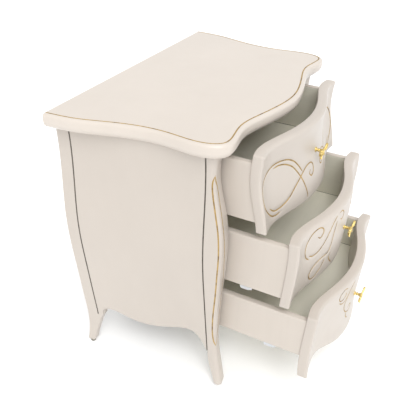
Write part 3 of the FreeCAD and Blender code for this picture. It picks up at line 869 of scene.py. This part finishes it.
def make_box_side(drawer, opening, mirror):
    """A box side: lacquered outside, painted inside, with a softened top edge and a thin strip of
    painted shade along the joint where it meets the bottom board."""
    side = "right" if mirror else "left"
    _, depths, (low, high) = limits_of(f"left_{drawer}_drawer_side", opening)
    (outer, inner), soft, clear = (-204, -191), 1.8, 0.05
    profile = [(outer, z) for z in np.linspace(low + EASE, high - soft, 16)]
    profile += [(outer + soft * (1 - math.cos(t)), high - soft * (1 - math.sin(t)))
                for t in quarter(4)[1:]]
    profile += [(inner - soft * (1 - math.sin(t)), high - soft * (1 - math.cos(t)))
                for t in quarter(4)]
    first_painted = len(profile) - 1
    board = limits_of(f"{drawer}_drawer_bottom")[2][1]
    heights = np.union1d(np.linspace(low + EASE, high - soft, 16), [board, board + JOINT_SHADE_HEIGHT])[::-1]
    joint = first_painted + list(heights).index(board + JOINT_SHADE_HEIGHT)
    profile += [(inner, z) for z in heights[1:]]
    painted = range(first_painted, len(profile) - 1)
    profile += [(inner - EASE, low), (outer + EASE, low)]
    profile = np.array(profile)
    ends = front_depth(profile[:, 0], profile[:, 1]) - FRONT_THICKNESS - clear
    rows = []
    for part in np.linspace(0, 1, 12):
        depth = depths[0] + (ends - depths[0]) * part
        rows.append(np.column_stack([profile[:, 0], depth, profile[:, 1]]))
    shell = Shell()
    # The strip just above the bottom board takes SHADOW_LINE: painted shade in the joint.
    shell.strips(rows, slot=lambda k, i: 2 if i == joint else int(i in painted))
    shell.caps(rows)
    shell.build(f"{side}_{drawer}_box_side", f"{drawer}_drawer",
                [BOX_OUTSIDE, BOX_INSIDE, SHADOW_LINE], [f"{side}_{drawer}_drawer_side"],
                opening, mirror=mirror)


def make_box_back(drawer, opening):
    """The back of a box, with softened upper edges."""
    (left, right), (rear, front), (low, high) = limits_of(f"{drawer}_drawer_back", opening)
    soft, clear = 1.6, 0.1
    profile = [(rear, low), (rear, high - soft)]
    profile += [(rear + soft * (1 - math.cos(t)), high - soft * (1 - math.sin(t)))
                for t in quarter(4)[1:]]
    profile += [(front - soft * (1 - math.sin(t)), high - soft * (1 - math.cos(t)))
                for t in quarter(4)]
    profile += [(front, low)]
    rows = [[(x, depth, z) for depth, z in profile]
            for x in np.linspace(left + clear, right - clear, 9)]
    shell = Shell()
    shell.strips(rows)
    shell.caps(rows)
    shell.build(f"{drawer}_box_back", f"{drawer}_drawer", [BOX_BACK],
                [f"{drawer}_drawer_back"], opening)


def make_clips(drawer, opening):
    """Two moulded clips: a block with a lead-in slope, two ribs and a locking tongue."""
    _, (rear, front), (low, high) = limits_of(f"{drawer}_clips", opening)
    profile = [(rear, high), (rear, low + 3.0), (rear + 2.5, low + 0.6), (rear + 5, low),
               (front - 7, low), (front - 6, low + 2.2), (front - 1.2, low + 2.2),
               (front, low + 3.4), (front, high)]
    soft, rise = 0.35, 1.4
    bands = ((191.4, 194.2, 0), (194.2, 200.8, rise), (200.8, 203.6, 0))
    shell = Shell()
    for sign in (-1, 1):
        for near, far, lift in bands:
            rows = []
            for x, inset in ((near, soft), (near + soft, 0), (far - soft, 0), (far, soft)):
                rows.append([(sign * x, depth, min(high, z + lift + inset))
                             for depth, z in profile])
            shell.strips(rows)
            shell.caps(rows)
    shell.build(f"{drawer}_runner_clips", f"{drawer}_drawer", [WHITE_PLASTIC],
                [f"{drawer}_clips"], opening, angle=30)


# ---- knobs ----------------------------------------------------------------------------------

def ribbon(shell, path, widths, thickness, closed=False):
    """A cast ribbon: path is (x, forward, z), and its width lies along the forward axis."""
    path = np.asarray(path, float)
    if closed:
        run = np.roll(path, -1, axis=0) - np.roll(path, 1, axis=0)
    else:
        run = np.gradient(path, axis=0)
    run[:, 1] = 0
    run /= np.linalg.norm(run, axis=1)[:, None] + 1e-9
    out = np.column_stack([-run[:, 2], np.zeros(len(run)), run[:, 0]])
    turns = np.linspace(0, 2 * math.pi, 16, endpoint=False)
    rows = []
    for centre, normal, width, thick in zip(path, out, widths, thickness):
        lobe = [(np.sign(math.cos(a)) * abs(math.cos(a)) ** 0.6 * width / 2,
                 np.sign(math.sin(a)) * abs(math.sin(a)) ** 0.8 * thick / 2) for a in turns]
        rows.append([centre + np.array([0, w, 0]) + normal * t for w, t in lobe])
    shell.strips(rows + rows[:1] if closed else rows)
    if not closed:
        shell.caps(rows)


def turned(shell, profile, sides=40, flutes=0, swell=0.0):
    """A solid of revolution about the forward axis; profile is (radius, forward)."""
    angles = np.linspace(0, 2 * math.pi, sides, endpoint=False)
    rows = []
    for radius, forward in profile:
        size = radius * (1 + swell * np.cos(flutes * angles))
        rows.append(np.column_stack([size * np.cos(angles), np.full(sides, forward),
                                     size * np.sin(angles)]))
    shell.strips(rows)
    shell.caps(rows)


def cast_bow():
    """The knob's mesh, with the middle of its seat at the origin and +Y into the chest."""
    reach = 13.0
    shell = Shell()
    stem = [(5.0, -3), (5.4, 0), (5.4, 0.9), (4.8, 1.6), (3.4, 2.3), (2.9, 3.6), (2.8, 5),
            (3.7, 5.6), (3.9, 6.3), (3.7, 7.0), (2.8, 7.6), (2.9, 9.4), (3.7, 11.4),
            (4.4, reach + 0.5)]
    turned(shell, stem)
    t = np.linspace(0, 1, 64, endpoint=False)
    for sign in (-1, 1):
        away = np.sin(math.pi * t) ** 0.9
        x = sign * (0.8 + 20.6 * away)
        z = 7.6 * np.sin(2 * math.pi * t) * (0.45 + 0.55 * away) + 3.4 * away
        forward = reach + 2.3 + 1.3 * away + 0.9 * np.sin(2 * math.pi * t)
        width = 3.0 + 1.8 * away
        ribbon(shell, np.column_stack([x, forward, z]), width, 1.5 + 0.5 * away, closed=True)
        small = np.column_stack([sign * (1.5 + 11.5 * away), forward - 0.4, z * 0.5 + 0.3])
        ribbon(shell, small, width * 0.62, 1.1 + 0.2 * away, closed=True)
        tail = resample([(sign * 1.0, reach + 2.4, -0.5), (sign * 4.2, reach + 3.6, -5.0),
                         (sign * 6.2, reach + 2.4, -9.6), (sign * 10.8, reach + 3.0, -13.6)], 0.7)
        grow = np.linspace(0, 1, len(tail))
        ribbon(shell, tail, 2.6 + 2.2 * grow, 1.7 + 0.9 * np.sin(grow * math.pi))
    knot = [(0.5, reach - 1.6), (3.2, reach - 1.0), (4.5, reach + 0.8), (4.9, reach + 2.6),
            (4.3, reach + 4.2), (2.9, reach + 5.3), (0.6, reach + 5.7)]
    turned(shell, knot, 48, 5, 0.09)
    points = np.array(shell.points) * [1, -1, 1] * MM
    mesh = bpy.data.meshes.new("cast_bow")
    mesh.from_pydata(points.tolist(), [], shell.faces)
    rough = bpy.data.objects.new("cast_bow", mesh)
    bpy.context.scene.collection.objects.link(rough)
    edit = bmesh.new()
    edit.from_mesh(mesh)
    bmesh.ops.recalc_face_normals(edit, faces=edit.faces)
    edit.to_mesh(mesh)
    edit.free()
    remesh = rough.modifiers.new("cast", "REMESH")
    remesh.mode = "VOXEL"
    remesh.voxel_size = 0.00042
    soften = rough.modifiers.new("soften", "SMOOTH")
    soften.factor = 0.5
    soften.iterations = 5
    thin = rough.modifiers.new("thin", "DECIMATE")
    thin.ratio = 0.45
    bpy.context.view_layer.update()
    result = bpy.data.meshes.new_from_object(
        rough.evaluated_get(bpy.context.evaluated_depsgraph_get()))
    bpy.data.objects.remove(rough)
    return result


def make_knob(drawer, opening, bow):
    height = sum(limits_of(f"{drawer}_knob_screw")[2]) / 2
    seat = float(front_depth(0, height))
    mesh = bow.copy()
    mesh.transform(Matrix.Translation(Vector((0, BACK - seat - opening, height)) * MM))
    mesh.materials.append(BRASS)
    finish_piece(mesh, f"{drawer}_bow_knob", f"{drawer}_drawer", [f"{drawer}_knob"],
                 40)


# ---- everything in place --------------------------------------------------------------------

make_top()
for is_right, side in ((False, "left"), (True, "right")):
    make_side_panel(is_right, f"{side}_bombe_side", f"{side}_side_panel")
    make_front_leg(is_right, f"{side}_front_post", f"{side}_front_leg")
    make_rear_leg(is_right, f"{side}_rear_post", f"{side}_rear_leg")
    for glide_end in GLIDES:
        make_glide(glide_end, is_right, side)
bow_mesh = cast_bow()
for drawer_name, drawn in DRAWERS.items():
    make_front(drawer_name, drawn)
    make_box_side(drawer_name, drawn, False)
    make_box_side(drawer_name, drawn, True)
    make_box_back(drawer_name, drawn)
    make_clips(drawer_name, drawn)
    make_knob(drawer_name, drawn, bow_mesh)

FINISHES = {
    "drawer_bottom": TRAY_PAINT_PAINTED_LIGHTER, "slide": CARCASS_PAINT, "rail": CARCASS_PAINT,
    "runner_board": CARCASS_PAINT, "back_panel": BACKING, "runner": STEEL,
    "knob_screw": STEEL,
}
for cad_name, cad_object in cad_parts.items():
    for ending, finish in FINISHES.items():
        if cad_name.endswith(ending):
            cad_object.data.materials.clear()
            cad_object.data.materials.append(finish)
            break


# ---- studio ---------------------------------------------------------------------------------

# The camera's angles in degrees, its place in millimetres and its focal length.
CAMERA_TURN, CAMERA_RISE, CAMERA_ROLL = -62.586, 33.568, 0.539
CAMERA_PLACE = (-997.4, BACK - 703.9, 1035.3)
FOCAL_LENGTH = 48.286
# Each light's azimuth and elevation in degrees, strength and softness.
LIGHTS = {"key": (-54, 50, 1.4, 35), "fill": (-25, 62, 0.25, 40), "overhead": (-35, 78, 0.35, 60)}
SKY = 0.85
FLOOR_GLOW = 0.04
FLOOR_HALF = 9


def make_floor():
    """A pale floor, a little brighter than the light on it."""
    material, tree, shader = new_material("studio_floor")
    cloud = ramp(tree, noise(tree, (1, 1, 1), 2.0, 2.0), [
        (0.3, (0.96, 0.96, 0.96)), (0.7, (0.98, 0.98, 0.98))])
    tree.links.new(cloud, shader.inputs["Base Color"])
    shader.inputs["Roughness"].default_value = 0.8
    shader.inputs["Emission Color"].default_value = (1, 1, 1, 1)
    shader.inputs["Emission Strength"].default_value = FLOOR_GLOW
    mesh = bpy.data.meshes.new("floor")
    corners = [(x * FLOOR_HALF, y * FLOOR_HALF, 0) for x, y in ((-1, -1), (1, -1), (1, 1), (-1, 1))]
    mesh.from_pydata(corners, [], [(0, 1, 2, 3)])
    mesh.materials.append(material)
    floor = bpy.data.objects.new("floor", mesh)
    bpy.context.scene.collection.objects.link(floor)


def add_light(name, azimuth, elevation, strength, spread):
    """An even studio light that shines from a direction; spread is its softness in degrees."""
    lamp = bpy.data.lights.new(name, "SUN")
    lamp.angle = math.radians(spread)
    lamp.energy = strength
    turn, rise = math.radians(azimuth), math.radians(elevation)
    towards = Vector((math.sin(turn) * math.cos(rise), -math.cos(turn) * math.cos(rise),
                      math.sin(rise)))
    holder = bpy.data.objects.new(name, lamp)
    holder.location = towards * 3
    holder.rotation_euler = towards.to_track_quat("Z", "Y").to_euler()
    bpy.context.scene.collection.objects.link(holder)


def add_camera():
    """A view from the front left, looking down, with a slight roll."""
    turn, rise, roll = (math.radians(a) for a in (CAMERA_TURN, CAMERA_RISE, CAMERA_ROLL))
    back = Vector((math.sin(turn) * math.cos(rise), -math.cos(turn) * math.cos(rise),
                   math.sin(rise)))
    right = Vector((-back.y, back.x, 0)).normalized()
    up = back.cross(right)
    axes = Matrix((right * math.cos(roll) + up * math.sin(roll),
                   up * math.cos(roll) - right * math.sin(roll), back)).transposed()
    lens = bpy.data.cameras.new("camera")
    lens.lens = FOCAL_LENGTH
    lens.sensor_width = 36
    camera = bpy.data.objects.new("camera", lens)
    camera.matrix_world = Matrix.Translation(Vector(CAMERA_PLACE) * MM) @ axes.to_4x4()
    bpy.context.scene.collection.objects.link(camera)
    bpy.context.scene.camera = camera


def light_studio():
    """A white sky and three soft lights."""
    world = bpy.data.worlds.new("studio")
    bpy.context.scene.world = world
    world.use_nodes = True
    sky = world.node_tree.nodes["Background"]
    sky.inputs["Color"].default_value = (1, 1, 1, 1)
    sky.inputs["Strength"].default_value = SKY
    for name, settings in LIGHTS.items():
        add_light(name, *settings)
    bpy.context.scene.view_settings.view_transform = "Standard"


make_floor()
add_camera()
light_studio()
